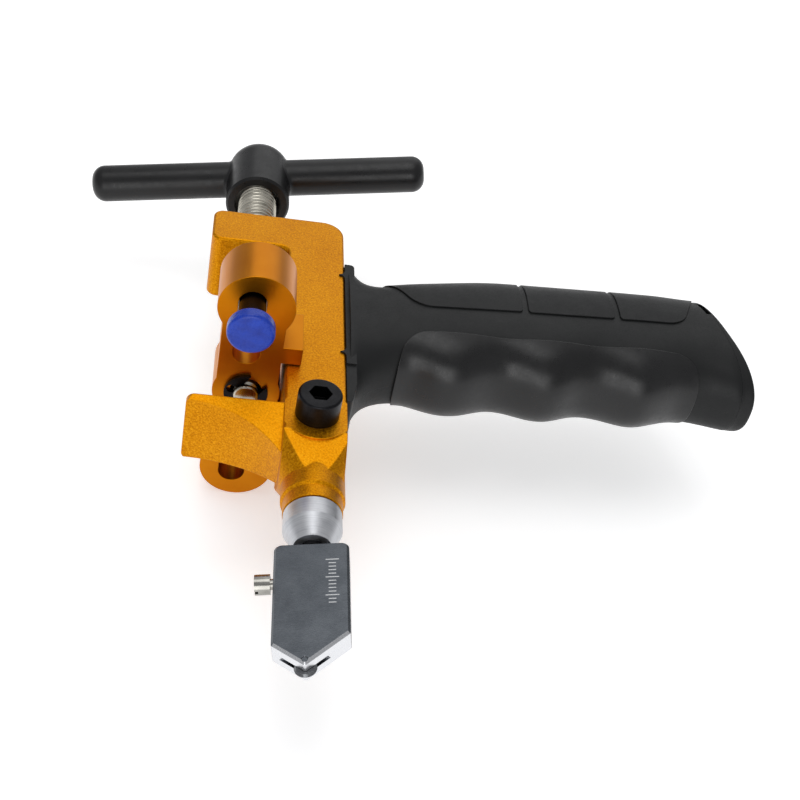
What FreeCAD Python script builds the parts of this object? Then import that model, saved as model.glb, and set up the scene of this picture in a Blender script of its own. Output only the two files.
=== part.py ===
import FreeCAD, Part
import math
import os
import Sketcher

# Hand-held glass and tile cutter with a screw press for breaking along the score line.
# It lies on its side: X runs along the handle, Y runs up the press screw, and Z points out
# of the frame's front face. The origin is on the jaw's working face, under the screw's axis.

Vector = FreeCAD.Vector
Rotation = FreeCAD.Rotation

DRIVING_SIZES = (
    # C-shaped frame
    ("frame_thick", 24.4),
    ("frame_edge", 0.9),
    ("throat_height", 79.5),
    ("throat_depth", 10.8),
    ("arm_height", 17.0),
    ("arm_reach", 15.0),
    ("arm_shoulder", 7.4),
    ("column_width", 18.5),
    ("corner_round", 3.4),
    ("jaw_reach", 17.5),
    ("jaw_tip_thick", 1.9),
    ("jaw_drop", 13.2),
    ("jaw_root_width", 12.4),
    ("jaw_corner", 2.5),
    ("barrel_width", 18.6),
    ("barrel_offset", 0.8),
    ("barrel_nose_width", 17.2),
    ("barrel_length", 33.0),
    ("barrel_nose", 5.0),
    ("taper_top", 10.6),
    ("taper_length", 12.0),
    ("taper_end_thick", 17.4),
    # clamp screw in the front face
    ("clamp_screw_size", 8.0),
    ("clamp_head_width", 13.0),
    ("clamp_head_height", 8.0),
    ("clamp_key_width", 6.0),
    ("clamp_key_depth", 4.2),
    ("clamp_below_jaw", 3.4),
    ("clamp_seat_width", 21.2),
    ("clamp_offset", 0.4),
    # press screw and its T handle
    ("spindle_size", 13.6),
    ("spindle_journal", 10.0),
    ("spindle_stub", 7.6),
    ("spindle_stub_length", 2.6),
    ("clip_thick", 1.0),
    ("clip_width", 13.4),
    ("clip_mouth_width", 6.1),
    ("clip_bay_width", 2.9),
    ("clip_turn", 35.0),
    ("thrust_washer_width", 19.0),
    ("thrust_washer_thick", 1.4),
    ("screw_exposed", 24.0),
    ("hub_width", 22.8),
    ("hub_skirt", 12.0),
    ("hub_height", 31.0),
    ("socket_depth", 17.0),
    ("bar_length", 122.0),
    ("bar_width", 13.2),
    ("bar_height", 17.5),
    ("bar_end_round", 4.6),
    ("bar_turn", 10.4),
    ("pin_width", 4.0),
    ("hub_fillet", 1.6),
    ("countersink_width", 3.2),
    # press block
    ("block_above_jaw", 17.2),
    ("block_height", 17.3),
    ("block_boss_width", 22.9),
    ("block_middle_width", 20.6),
    ("block_waist_width", 18.7),
    ("block_boss_spread", 32.1),
    ("slot_width", 8.3),
    ("slot_inner", 15.2),
    ("slot_outer", 33.8),
    ("tab_start", 9.0),
    ("tab_width", 6.3),
    ("tab_thick", 5.9),
    ("tab_gap", 0.4),
    ("slot_offset", 1.3),
    # pads
    ("pad_stem_width", 8.0),
    ("pad_stem_length", 17.4),
    ("pad_cap_width", 13.9),
    ("pad_cap_thick", 4.0),
    ("pad_cap_socket", 1.8),
    ("pad_thread", 5.0),
    ("pad_thread_length", 17.0),
    ("pad_nut_width", 8.0),
    ("pad_nut_height", 4.0),
    ("pad_washer_width", 10.0),
    ("pad_washer_thick", 1.2),
    ("front_pad_place", 33.0),
    ("front_pad_drop", 9.8),
    ("rear_pad_place", 19.6),
    ("rear_pad_drop", 0.3),
    # scoring head
    ("shank_width", 10.0),
    ("shank_length", 38.0),
    ("shank_in_collar", 5.4),
    ("collar_width", 16.8),
    ("collar_end_width", 13.4),
    ("collar_straight", 6.2),
    ("collar_length", 12.2),
    ("swivel_width", 5.0),
    ("swivel_shoulder", 6.6),
    ("swivel_gap", 1.3),
    ("swivel_above", 4.0),
    ("swivel_below", 15.5),
    ("head_width", 20.4),
    ("head_thick", 7.5),
    ("head_left", 34.5),
    ("head_right", 31.5),
    ("head_point", 41.3),
    ("head_point_offset", 1.5),
    ("head_corner", 2.2),
    ("head_bevel", 0.7),
    ("head_turn", 11.0),
    ("wheel_width", 6.0),
    ("wheel_thick", 1.2),
    ("wheel_proud", 1.3),
    ("wheel_slot", 1.5),
    ("wheel_slot_depth", 8.0),
    ("axle_width", 1.6),
    ("head_screw_size", 3.0),
    ("head_screw_head", 5.6),
    ("head_screw_head_length", 4.2),
    ("head_screw_neck", 0.9),
    ("head_screw_drop", 11.2),
    # grip
    ("flange_thick", 3.2),
    ("flange_top", 71.8),
    ("flange_bottom", 3.5),
    ("flange_taper", 8.0),
    ("flange_step", 20.4),
    ("flange_tab_top", 66.0),
    ("flange_tab_spread", 40.0),
    ("flange_tab_reach", 1.9),
    ("flange_depth", 25.6),
    ("grip_length", 127.0),
    ("grip_start_height", 47.2),
    ("grip_slope", 0.065),
    ("grip_half_depth", 16.5),
    ("grip_neck_depth", 14.6),
    ("grip_neck_top", 20.2),
    ("grip_top", 26.8),
    ("grip_bottom", 24.7),
    ("grip_neck_length", 12.0),
    ("grip_rise_length", 46.0),
    ("flare_rise", 8.2),
    ("flare_length", 8.0),
    ("groove_depth", 4.3),
    ("groove_pitch", 31.0),
    ("first_groove", 17.0),
    ("shell_wall", 3.0),
    ("end_wall", 6.4),
    ("bolt_room_depth", 4.4),
    ("end_lean", 0.19),
    ("end_lean_length", 34.0),
    ("end_drop", 1.1),
    ("end_thin", 0.8),
    ("notch_length", 8.0),
    ("notch_width", 1.7),
    ("notch_rise", 9.0),
    ("panel_inset", 0.7),
    ("panel_proud", 0.5),
    ("panel_gap", 2.0),
    ("panel_start", 10.6),
    ("panel_1_length", 45.4),
    ("panel_2_length", 29.4),
    ("panel_3_length", 27.6),
    ("panel_round", 1.2),
    ("panel_sweep", 9.0),
    ("finger_start", 10.8),
    ("finger_end", 9.5),
    ("cap_bulge", 3.4),
    ("cap_sag", 2.4),
    ("cap_lean", 0.1),
    ("bolt_size", 6.0),
    ("bolt_head_width", 10.0),
    ("bolt_head_height", 5.0),
    ("bolt_key_width", 5.0),
    ("bolt_grip_in_frame", 12.0),
    ("bolt_washer_width", 12.0),
    ("bolt_washer_thick", 1.4),
    ("spine_width", 11.0),
    ("spine_gap", 0.6),
    # clearances
    ("running_gap", 0.05),
    ("loose_gap", 0.25),
)

ALONG_X = Rotation(Vector(0, 1, 0), 90)
ALONG_Y = Rotation(Vector(1, 0, 0), -90)
STRAIGHT = Rotation()


class Size:
    """A length with its value and the spreadsheet expression that gives it."""

    def __init__(self, value, text):
        self.value = float(value)
        self.text = text

    def __str__(self):
        return self.text

    def __float__(self):
        return self.value

    def __neg__(self):
        return Size(-self.value, f"(0 - {self.text})")

    def __add__(self, other):
        return Size(self.value + float(other), f"({self} + {other})")

    def __radd__(self, other):
        return Size(float(other) + self.value, f"({other} + {self})")

    def __sub__(self, other):
        return Size(self.value - float(other), f"({self} - {other})")

    def __mul__(self, other):
        return Size(self.value * float(other), f"({self} * {other})")

    def __truediv__(self, other):
        return Size(self.value / float(other), f"({self} / {other})")


class Sizes:
    """The driving sizes, each one an attribute that also knows its cell."""


def make_sheet(doc):
    """Write the driving sizes into a spreadsheet and return them as attributes."""
    sheet = doc.addObject("Spreadsheet::Sheet", "Sizes")
    sizes = Sizes()
    for row, (alias, value) in enumerate(DRIVING_SIZES, start=1):
        sheet.set(f"A{row}", alias)
        sheet.set(f"B{row}", str(value))
        sheet.setAlias(f"B{row}", alias)
        setattr(sizes, alias, Size(value, f"Sizes.{alias}"))
    doc.recompute()
    return sizes


doc = FreeCAD.newDocument("glass_cutter")
s = make_sheet(doc)
nodes = []


# ---------------------------------------------------------------- places worked out once

ARM_TOP = s.throat_height + s.arm_height
COLUMN_RIGHT = s.throat_depth + s.column_width
FRONT = s.frame_thick / 2
BARREL_X = COLUMN_RIGHT - s.barrel_width / 2 + s.barrel_offset
CLAMP_X = BARREL_X - s.clamp_offset
BLOCK_TOP = s.block_above_jaw + s.block_height
HUB_BASE = ARM_TOP + s.screw_exposed
BAR_Y = HUB_BASE + s.bar_height
BARREL_END = -s.barrel_length
COLLAR_END = BARREL_END - s.collar_length - s.running_gap
HEAD_TOP = COLLAR_END - s.swivel_gap
WHEEL_Y = HEAD_TOP - s.head_point + s.wheel_width / 2 - s.wheel_proud
FLANGE_X = COLUMN_RIGHT + s.flange_thick
GRIP_END = FLANGE_X + s.grip_length - s.flange_thick
CLIP_BORE = s.spindle_stub - 1.3


# ---------------------------------------------------------------- small modelling helpers

def bind(target, prop, size):
    """Tie one property of an object to a size."""
    target.setExpression(prop, str(size))


def put(target, x=0, y=0, z=0, turn=STRAIGHT):
    """Turn an object and tie its place to sizes."""
    target.Placement = FreeCAD.Placement(Vector(float(x), float(y), float(z)), turn)
    for axis, size in (("x", x), ("y", y), ("z", z)):
        if isinstance(size, Size):
            bind(target, f".Placement.Base.{axis}", size)
    return target


def box(name, length, width, height, x=0, y=0, z=0):
    """A block from its low corner."""
    block = doc.addObject("Part::Box", name)
    bind(block, "Length", length)
    bind(block, "Width", width)
    bind(block, "Height", height)
    return put(block, x, y, z)


def rod(name, width, length, x=0, y=0, z=0, turn=STRAIGHT):
    """A round bar of a given diameter."""
    bar = doc.addObject("Part::Cylinder", name)
    bind(bar, "Radius", width / 2)
    bind(bar, "Height", length)
    return put(bar, x, y, z, turn)


def cone(name, start_width, end_width, length, x=0, y=0, z=0, turn=STRAIGHT):
    """A tapered round bar."""
    bar = doc.addObject("Part::Cone", name)
    bind(bar, "Radius1", start_width / 2)
    bind(bar, "Radius2", end_width / 2)
    bind(bar, "Height", length)
    return put(bar, x, y, z, turn)


def hex_bar(name, across_flats, length, x=0, y=0, z=0, turn=STRAIGHT):
    """A six-sided bar."""
    bar = doc.addObject("Part::Prism", name)
    bar.Polygon = 6
    bind(bar, "Circumradius", across_flats / math.sqrt(3))
    bind(bar, "Height", length)
    return put(bar, x, y, z, turn)


def fuse(name, pieces):
    """One solid from several."""
    whole = doc.addObject("Part::MultiFuse", name)
    whole.Shapes = pieces
    whole.Refine = True
    return whole


def cut(name, base, tools):
    """A solid with others taken away."""
    tool = tools[0]
    if len(tools) > 1:
        tool = fuse(f"{name}_cutters", tools)
    rest = doc.addObject("Part::Cut", name)
    rest.Base = base
    rest.Tool = tool
    rest.Refine = True
    return rest


def common(name, pieces):
    """What several solids share."""
    shared = doc.addObject("Part::MultiCommon", name)
    shared.Shapes = pieces
    shared.Refine = True
    return shared


def node(item):
    """List a finished sub-part; its label is the name of its file."""
    nodes.append(item)
    return item


def origin_plane(body, role):
    """One of a body's own origin planes."""
    return next(item for item in body.Origin.OriginFeatures if item.Role == role)


def new_body(name, x=0, y=0, z=0, turn=STRAIGHT):
    """An empty body at its place."""
    return put(doc.addObject("PartDesign::Body", name), x, y, z, turn)


def new_sketch(body, name, plane):
    """A sketch on one of the body's origin planes."""
    sketch = body.newObject("Sketcher::SketchObject", name)
    sketch.AttachmentSupport = (origin_plane(body, plane), [""])
    sketch.MapMode = "FlatFace"
    return sketch


def tie(sketch, kind, first, first_end, second, second_end, size):
    """A driving dimension between two points of a sketch, tied to a size."""
    constraint = Sketcher.Constraint(kind, first, first_end, second, second_end, float(size))
    index = sketch.addConstraint(constraint)
    if isinstance(size, Size):
        bind(sketch, f"Constraints[{index}]", size)


def corner_arc(before, corner, after, radius):
    """Ends and middle of the arc that rounds a corner."""
    back = (before - corner).normalize()
    on = (after - corner).normalize()
    half = back.getAngle(on) / 2
    reach = radius / math.tan(half)
    centre = corner + (back + on).normalize() * (radius / math.sin(half))
    middle = centre + (corner - centre).normalize() * radius
    return corner + back * reach, middle, corner + on * reach


def outline(sketch, corners):
    """Draw a closed outline; each corner is (x, y) or (x, y, rounding)."""
    count = len(corners)
    points = [Vector(float(corner[0]), float(corner[1]), 0) for corner in corners]
    starts = list(points)
    ends = list(points)
    arcs = {}
    for index, corner in enumerate(corners):
        if len(corner) > 2:
            arc = corner_arc(points[index - 1], points[index], points[(index + 1) % count],
                             float(corner[2]))
            ends[index], _, starts[index] = arc
            arcs[index] = arc
    sides = []
    for index in range(count):
        side = Part.LineSegment(starts[index], ends[(index + 1) % count])
        sides.append(sketch.addGeometry(side, False))
    for index, corner in enumerate(corners):
        before = sides[index - 1]
        after = sides[index]
        if index in arcs:
            bend = sketch.addGeometry(Part.Arc(*arcs[index]), False)
            mark = sketch.addGeometry(Part.Point(points[index]), True)
            forward = bend_runs_forward(sketch, bend, arcs[index][0])
            first, last = (1, 2) if forward else (2, 1)
            sketch.addConstraint(Sketcher.Constraint("Tangent", before, 2, bend, first))
            sketch.addConstraint(Sketcher.Constraint("Tangent", after, 1, bend, last))
            sketch.addConstraint(Sketcher.Constraint("PointOnObject", mark, 1, before))
            sketch.addConstraint(Sketcher.Constraint("PointOnObject", mark, 1, after))
            index_radius = sketch.addConstraint(
                Sketcher.Constraint("Radius", bend, float(corner[2])))
            if isinstance(corner[2], Size):
                bind(sketch, f"Constraints[{index_radius}]", corner[2])
            held = (mark, 1)
        else:
            sketch.addConstraint(Sketcher.Constraint("Coincident", before, 2, after, 1))
            held = (after, 1)
        tie(sketch, "DistanceX", -1, 1, *held, corner[0])
        tie(sketch, "DistanceY", -1, 1, *held, corner[1])


def bend_runs_forward(sketch, bend, first_point):
    """Whether an arc's own start is the end that follows the side before it."""
    return (sketch.getPoint(bend, 1) - first_point).Length < 1e-6


def padded(body, sketch, depth, name):
    """Grow a sketch evenly to both sides."""
    pad = body.newObject("PartDesign::Pad", name)
    pad.Profile = sketch
    pad.Midplane = True
    bind(pad, "Length", depth)
    return pad


def turned(name, corners, x=0, y=0, z=0, turn=STRAIGHT):
    """A turned piece: its half outline is (radius, height) about the body's Y axis."""
    body = new_body(name, x, y, z, turn)
    sketch = new_sketch(body, f"{name}_outline", "XY_Plane")
    outline(sketch, corners)
    lathe = body.newObject("PartDesign::Revolution", f"{name}_turning")
    lathe.Profile = sketch
    lathe.ReferenceAxis = (sketch, ["V_Axis"])
    lathe.Angle = 360
    return body


def edges_where(shape, test):
    """Names of a shape's edges that pass a test."""
    return [f"Edge{number}" for number, edge in enumerate(shape.Edges, start=1) if test(edge)]


def blended(name, base, radius, test):
    """A fillet of one radius along the edges that pass a test."""
    doc.recompute()
    blend = doc.addObject("Part::Fillet", name)
    blend.Base = base
    blend.Edges = [(int(edge[4:]), float(radius), float(radius))
                   for edge in edges_where(base.Shape, test)]
    return blend


# ---------------------------------------------------------------- frame

def frame_plate():
    """Arm and column: an L outline, as thick as the frame, with eased edges."""
    body = new_body("frame_plate")
    sketch = new_sketch(body, "frame_outline", "XY_Plane")
    outline(sketch, (
        (s.throat_depth, -s.taper_top),
        (COLUMN_RIGHT, -s.taper_top),
        (COLUMN_RIGHT, ARM_TOP, s.arm_shoulder),
        (-s.arm_reach, ARM_TOP, s.corner_round),
        (-s.arm_reach, s.throat_height, s.corner_round),
        (s.throat_depth, s.throat_height, s.corner_round),
    ))
    pad = padded(body, sketch, s.frame_thick, "frame_pad")
    doc.recompute()
    low = -float(s.taper_top)
    rim = edges_where(pad.Shape, lambda edge: edge.BoundBox.ZLength < 1e-6
                      and edge.BoundBox.YMax > low + 1e-6)
    ease = body.newObject("PartDesign::Fillet", "frame_ease")
    ease.Base = (pad, rim)
    bind(ease, "Radius", s.frame_edge)
    return body


def column_foot():
    """The column narrowing down to the round barrel that holds the cutter."""
    foot = doc.addObject("Part::Wedge", "foot_taper")
    bottom = s.taper_end_thick / 2
    for prop, size in (
            ("Xmin", s.throat_depth), ("Xmax", COLUMN_RIGHT),
            ("X2min", s.throat_depth), ("X2max", COLUMN_RIGHT),
            ("Ymin", -s.taper_top - s.taper_length), ("Ymax", -s.taper_top),
            ("Zmin", -bottom), ("Zmax", bottom),
            ("Z2min", -FRONT), ("Z2max", FRONT)):
        bind(foot, prop, size)
    corner_width = (s.column_width + s.frame_thick) * 0.74
    rounding = cone("foot_rounding", s.barrel_width, corner_width, s.taper_length,
                    BARREL_X, -s.taper_top - s.taper_length, 0, ALONG_Y)
    return common("column_foot", [foot, rounding])


def barrel():
    """Round barrel with a slightly smaller nose."""
    nose_top = BARREL_END + s.barrel_nose
    chamfer = s.barrel_width / 2 - s.barrel_nose_width / 2
    return [
        rod("barrel_body", s.barrel_width, s.barrel_length - s.barrel_nose - s.taper_top,
            BARREL_X, nose_top, 0, ALONG_Y),
        cone("barrel_step", s.barrel_nose_width, s.barrel_width, chamfer,
             BARREL_X, nose_top - chamfer, 0, ALONG_Y),
        rod("barrel_nose_ring", s.barrel_nose_width, s.barrel_nose,
            BARREL_X, BARREL_END, 0, ALONG_Y),
    ]


def jaw():
    """Lower jaw: full width at its working face, coved below and slanted at its sides."""
    depth = s.jaw_drop + s.jaw_tip_thick
    length = s.jaw_reach + s.throat_depth
    plan = new_body("jaw_plan")
    sketch = new_sketch(plan, "jaw_plan_outline", "XZ_Plane")
    outline(sketch, (
        (-s.jaw_reach, -FRONT, s.jaw_corner),
        (s.throat_depth + s.frame_edge, -FRONT),
        (s.throat_depth + s.frame_edge, FRONT),
        (-s.jaw_reach, FRONT, s.jaw_corner),
    ))
    padded(plan, sketch, depth * 2, "jaw_plan_pad")
    wedge = doc.addObject("Part::Wedge", "jaw_wedge")
    root = s.jaw_root_width / 2
    for prop, size in (
            ("Xmin", -s.jaw_reach), ("Xmax", s.throat_depth + s.frame_edge),
            ("X2min", -s.jaw_reach), ("X2max", s.throat_depth + s.frame_edge),
            ("Ymin", -depth), ("Ymax", 0),
            ("Zmin", -root), ("Zmax", root),
            ("Z2min", -FRONT), ("Z2max", FRONT)):
        bind(wedge, prop, size)
    radius = (length * length + s.jaw_drop * s.jaw_drop) / (s.jaw_drop * 2)
    cove = rod("jaw_cove", radius * 2, s.frame_thick * 2,
               -s.jaw_reach, -s.jaw_tip_thick - radius, -s.frame_thick)
    return cut("jaw", common("jaw_blank", [wedge, plan]), [cove])


def clamp_seats():
    """Round flat seat under the clamp screw's head, on both faces, flush with the column's side."""
    disc = rod("clamp_seat_disc", s.clamp_seat_width, s.frame_thick,
               CLAMP_X, -s.clamp_below_jaw, -FRONT)
    side = box("clamp_seat_side", s.column_width, s.clamp_seat_width * 2, s.frame_thick,
               s.throat_depth, -s.clamp_seat_width, -FRONT)
    return common("clamp_seats", [disc, side])


def frame_body():
    """The cast frame, with its screw thread, cutter bore and tapped holes."""
    whole = fuse("frame_casting", [frame_plate(), column_foot(), jaw(), clamp_seats(), *barrel()])
    shank_top = s.shank_length - s.barrel_length - s.shank_in_collar
    holes = [
        rod("spindle_thread_hole", s.spindle_size + s.running_gap * 2, s.arm_height + 2,
            0, s.throat_height - 1, 0, ALONG_Y),
        rod("shank_bore", s.shank_width + s.running_gap * 2, shank_top + s.barrel_length + 1,
            BARREL_X, BARREL_END - 1, 0, ALONG_Y),
        rod("clamp_hole", s.clamp_screw_size + s.running_gap * 2, s.frame_thick,
            CLAMP_X, -s.clamp_below_jaw, 0),
        rod("bolt_hole", s.bolt_size + s.running_gap * 2, s.bolt_grip_in_frame + 1,
            COLUMN_RIGHT - s.bolt_grip_in_frame - 0.5, s.grip_start_height, 0, ALONG_X),
    ]
    return node(cut("frame_body", whole, holes))


# ---------------------------------------------------------------- clamp screw

def clamp_screw():
    """Socket cap screw whose tip holds the cutter's shank."""
    tip = s.shank_width / 2 + s.running_gap * 2
    head = turned("clamp_head", (
        (0, 0),
        (s.clamp_head_width / 2, 0),
        (s.clamp_head_width / 2, s.clamp_head_height, 0.8),
        (0, s.clamp_head_height),
    ), CLAMP_X, -s.clamp_below_jaw, FRONT, Rotation(Vector(1, 0, 0), 90))
    shank = rod("clamp_shank", s.clamp_screw_size, FRONT - tip,
                CLAMP_X, -s.clamp_below_jaw, tip)
    key = hex_bar("clamp_key", s.clamp_key_width, s.clamp_key_depth + 1,
                  CLAMP_X, -s.clamp_below_jaw,
                  FRONT + s.clamp_head_height - s.clamp_key_depth)
    node(cut("clamp_screw", fuse("clamp_solid", [head, shank]), [key]))


# ---------------------------------------------------------------- press screw and T handle

def spindle():
    """Press screw: thread, journal in the block, and a grooved stub for the clip."""
    thread_start = BLOCK_TOP + s.thrust_washer_thick
    top = HUB_BASE + s.socket_depth
    journal = s.spindle_journal / 2
    groove = CLIP_BORE / 2 - s.running_gap
    stub = s.spindle_stub / 2
    clip_low = s.block_above_jaw - s.clip_thick
    foot = s.block_above_jaw - s.spindle_stub_length
    node(turned("spindle", (
        (0, foot),
        (stub - 0.5, foot),
        (stub, foot + 0.5),
        (stub, clip_low - 0.1),
        (groove, clip_low - 0.1),
        (groove, s.block_above_jaw),
        (stub, s.block_above_jaw),
        (stub, s.block_above_jaw + 0.6),
        (journal, s.block_above_jaw + 0.6 + journal - stub),
        (journal, thread_start),
        (s.spindle_size / 2 - 1.2, thread_start),
        (s.spindle_size / 2, thread_start + 1.2),
        (s.spindle_size / 2, top - 1),
        (s.spindle_size / 2 - 1, top),
        (0, top),
    )))


def spindle_clip():
    """Spring clip with an opening and two bays, under the block."""
    low = s.block_above_jaw - s.clip_thick
    past = s.clip_thick + 2
    ring = rod("clip_ring", s.clip_width, s.clip_thick - s.running_gap, 0, low, 0, ALONG_Y)
    bore = rod("clip_bore", CLIP_BORE, past, 0, low - 1, 0, ALONG_Y)
    mouth = box("clip_mouth", s.clip_mouth_width, past, s.clip_width,
                s.clip_mouth_width / -2, low - 1, 0)
    bays = [rod(f"clip_bay_{side}", s.clip_bay_width, past,
                (CLIP_BORE + s.clip_bay_width) / 2 * direction, low - 1,
                s.clip_bay_width / -2, ALONG_Y)
            for side, direction in (("left", -1), ("right", 1))]
    turn = Rotation(Vector(0, 1, 0), float(s.clip_turn))
    node(put(cut("spindle_clip", ring, [bore, mouth, *bays]), turn=turn))


def thrust_washer():
    """Washer between the thread's shoulder and the block."""
    node(turned("thrust_washer", (
        (s.spindle_journal / 2 + s.running_gap, BLOCK_TOP),
        (s.thrust_washer_width / 2, BLOCK_TOP),
        (s.thrust_washer_width / 2, BLOCK_TOP + s.thrust_washer_thick, 0.3),
        (s.spindle_journal / 2 + s.running_gap, BLOCK_TOP + s.thrust_washer_thick),
    )))


def t_handle():
    """Moulded T handle: a domed hub with a socket, and a cross bar with rounded ends."""
    hub = turned("handle_hub", (
        (0, HUB_BASE),
        (s.hub_width / 2 - 0.8, HUB_BASE),
        (s.hub_width / 2, HUB_BASE + 0.8),
        (s.hub_width / 2, HUB_BASE + s.hub_height, s.hub_width * 0.46),
        (0, HUB_BASE + s.hub_height),
    ))
    half = s.bar_length / 2
    turn = Rotation(Vector(0, 1, 0), -float(s.bar_turn)).multiply(Rotation(Vector(0, 0, 1), -90))
    bar = turned("handle_bar", (
        (0, -half),
        (s.bar_width / 2, -half, s.bar_end_round),
        (s.bar_width / 2, half, s.bar_end_round),
        (0, half),
    ), 0, BAR_Y, 0, turn)
    socket = rod("handle_socket", s.spindle_size + s.running_gap * 2, s.socket_depth + 1,
                 0, HUB_BASE - 1, 0, ALONG_Y)
    countersink = cone("handle_countersink", s.spindle_size + s.countersink_width,
                       s.spindle_size, s.countersink_width / 2,
                       0, HUB_BASE - s.running_gap, 0, ALONG_Y)
    pin_hole = rod("handle_pin_hole", s.pin_width + s.running_gap * 2,
                   s.hub_width / 2, 0, HUB_BASE + s.hub_skirt * 0.45, -s.hub_width / 2)
    moulding = blended("handle_blend", fuse("handle_moulding", [hub, bar]), s.hub_fillet,
                       meets_bar)
    node(cut("t_handle", moulding, [socket, countersink, pin_hole]))


def meets_bar(edge):
    """Whether an edge is where the cross bar leaves the hub."""
    room = edge.BoundBox
    near = float(s.hub_width) / 2 + 1
    high = room.YMin > float(BAR_Y) - float(s.bar_width) / 2 - 0.1
    return room.YLength > 1 and high and abs(room.XMin) < near and abs(room.XMax) < near \
        and room.XMin * room.XMax > 0


def handle_pin():
    """Cross pin that locks the handle to the press screw, from the rear."""
    grip = s.hub_width / 2 - s.spindle_size / 2 - s.running_gap - 0.6
    node(rod("handle_pin", s.pin_width, grip, 0, HUB_BASE + s.hub_skirt * 0.45,
             s.spindle_size / -2 - s.running_gap - grip))


# ---------------------------------------------------------------- press block and its pads

def slot(side, direction):
    """One through slot of the block, as three cutters."""
    length = s.slot_outer - s.slot_inner
    near = s.slot_inner * direction
    middle = -s.slot_offset
    low = s.slot_inner if direction > 0 else -s.slot_outer
    depth = s.block_height + 2
    base = s.block_above_jaw - 1
    return [
        rod(f"slot_inner_{side}", s.slot_width, depth, middle, base, near, ALONG_Y),
        rod(f"slot_outer_{side}", s.slot_width, depth, middle, base, s.slot_outer * direction,
            ALONG_Y),
        box(f"slot_middle_{side}", s.slot_width, depth, length, middle - s.slot_width / 2,
            base, low),
    ]


def block_outline():
    """Three round bosses in line, joined by a narrower waist."""
    base = s.block_above_jaw
    spread = s.block_boss_spread
    bosses = [rod(f"boss_{name}", width, s.block_height, 0, base, z, ALONG_Y)
              for name, width, z in (("front", s.block_boss_width, spread),
                                     ("middle", s.block_middle_width, 0),
                                     ("rear", s.block_boss_width, -spread))]
    waist = box("block_waist", s.block_waist_width, s.block_height, spread * 2,
                s.block_waist_width / -2, base, -spread)
    return [*bosses, waist]


def guide_tabs():
    """Tabs that straddle the column and keep the block from turning."""
    near = FRONT + s.tab_gap
    return [
        box("tab_front", s.tab_width, s.block_height, s.tab_thick,
            s.tab_start, s.block_above_jaw, near),
        box("tab_rear", s.tab_width, s.block_height, s.tab_thick,
            s.tab_start, s.block_above_jaw, -near - s.tab_thick),
    ]


def press_block():
    """The bar that the press screw pushes, with a slot for each pad."""
    whole = fuse("block_solid", [*block_outline(), *guide_tabs()])
    column_room = box("column_room", s.tab_width + s.tab_start, s.block_height + 2, near_gap() * 2,
                      s.throat_depth - s.loose_gap, s.block_above_jaw - 1, -near_gap())
    bore = rod("journal_bore", s.spindle_journal + s.running_gap * 2, s.block_height + 2,
               0, s.block_above_jaw - 1, 0, ALONG_Y)
    node(cut("press_block", whole, [bore, column_room, *slot("front", 1), *slot("rear", -1)]))


def near_gap():
    """Distance from the middle plane to the inner face of a guide tab."""
    return FRONT + s.tab_gap


def pad(side, place, drop):
    """One pad: a stepped black stem through the slot, a soft cap, a washer and a nut."""
    cap_top = s.block_above_jaw - drop
    step = cap_top + s.pad_stem_length
    middle = -s.slot_offset
    stem_low = cap_top - s.pad_cap_socket
    node(turned(f"pad_stem_{side}", (
        (0, stem_low),
        (s.pad_stem_width / 2, stem_low),
        (s.pad_stem_width / 2, step),
        (s.pad_thread / 2, step),
        (s.pad_thread / 2, step + s.pad_thread_length - 0.5),
        (s.pad_thread / 2 - 0.5, step + s.pad_thread_length),
        (0, step + s.pad_thread_length),
    ), middle, 0, place))
    socket = s.pad_stem_width / 2 + s.running_gap
    cap_low = cap_top - s.pad_cap_thick
    node(turned(f"pad_cap_{side}", (
        (0, cap_low),
        (s.pad_cap_width / 2, cap_low, 1.1),
        (s.pad_cap_width / 2, cap_top, 0.7),
        (socket, cap_top),
        (socket, stem_low),
        (0, stem_low),
    ), middle, 0, place))
    node(turned(f"pad_washer_{side}", (
        (s.pad_thread / 2 + s.running_gap, BLOCK_TOP),
        (s.pad_washer_width / 2, BLOCK_TOP),
        (s.pad_washer_width / 2, BLOCK_TOP + s.pad_washer_thick),
        (s.pad_thread / 2 + s.running_gap, BLOCK_TOP + s.pad_washer_thick),
    ), middle, 0, place))
    nut_low = BLOCK_TOP + s.pad_washer_thick
    nut = hex_bar(f"pad_nut_{side}_blank", s.pad_nut_width, s.pad_nut_height,
                  middle, nut_low, place, ALONG_Y)
    thread = rod(f"pad_nut_{side}_hole", s.pad_thread + s.running_gap * 2, s.pad_nut_height + 2,
                 middle, nut_low - 1, place, ALONG_Y)
    node(cut(f"pad_nut_{side}", nut, [thread]))


# ---------------------------------------------------------------- scoring head

def cutter_shank():
    """Steel shank that slides in the barrel."""
    node(rod("cutter_shank", s.shank_width, s.shank_length,
             BARREL_X, BARREL_END - s.shank_in_collar, 0, ALONG_Y))


def cutter_collar():
    """Turned collar: straight, then tapering to the swivel."""
    collar_top = BARREL_END - s.running_gap
    node(turned("cutter_collar", (
        (s.shank_width / 2, collar_top),
        (s.shank_width / 2, BARREL_END - s.shank_in_collar),
        (s.swivel_width / 2, BARREL_END - s.shank_in_collar),
        (s.swivel_width / 2, COLLAR_END),
        (s.collar_end_width / 2, COLLAR_END, 0.4),
        (s.collar_width / 2, collar_top - s.collar_straight),
        (s.collar_width / 2, collar_top, 0.5),
    ), BARREL_X))


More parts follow.
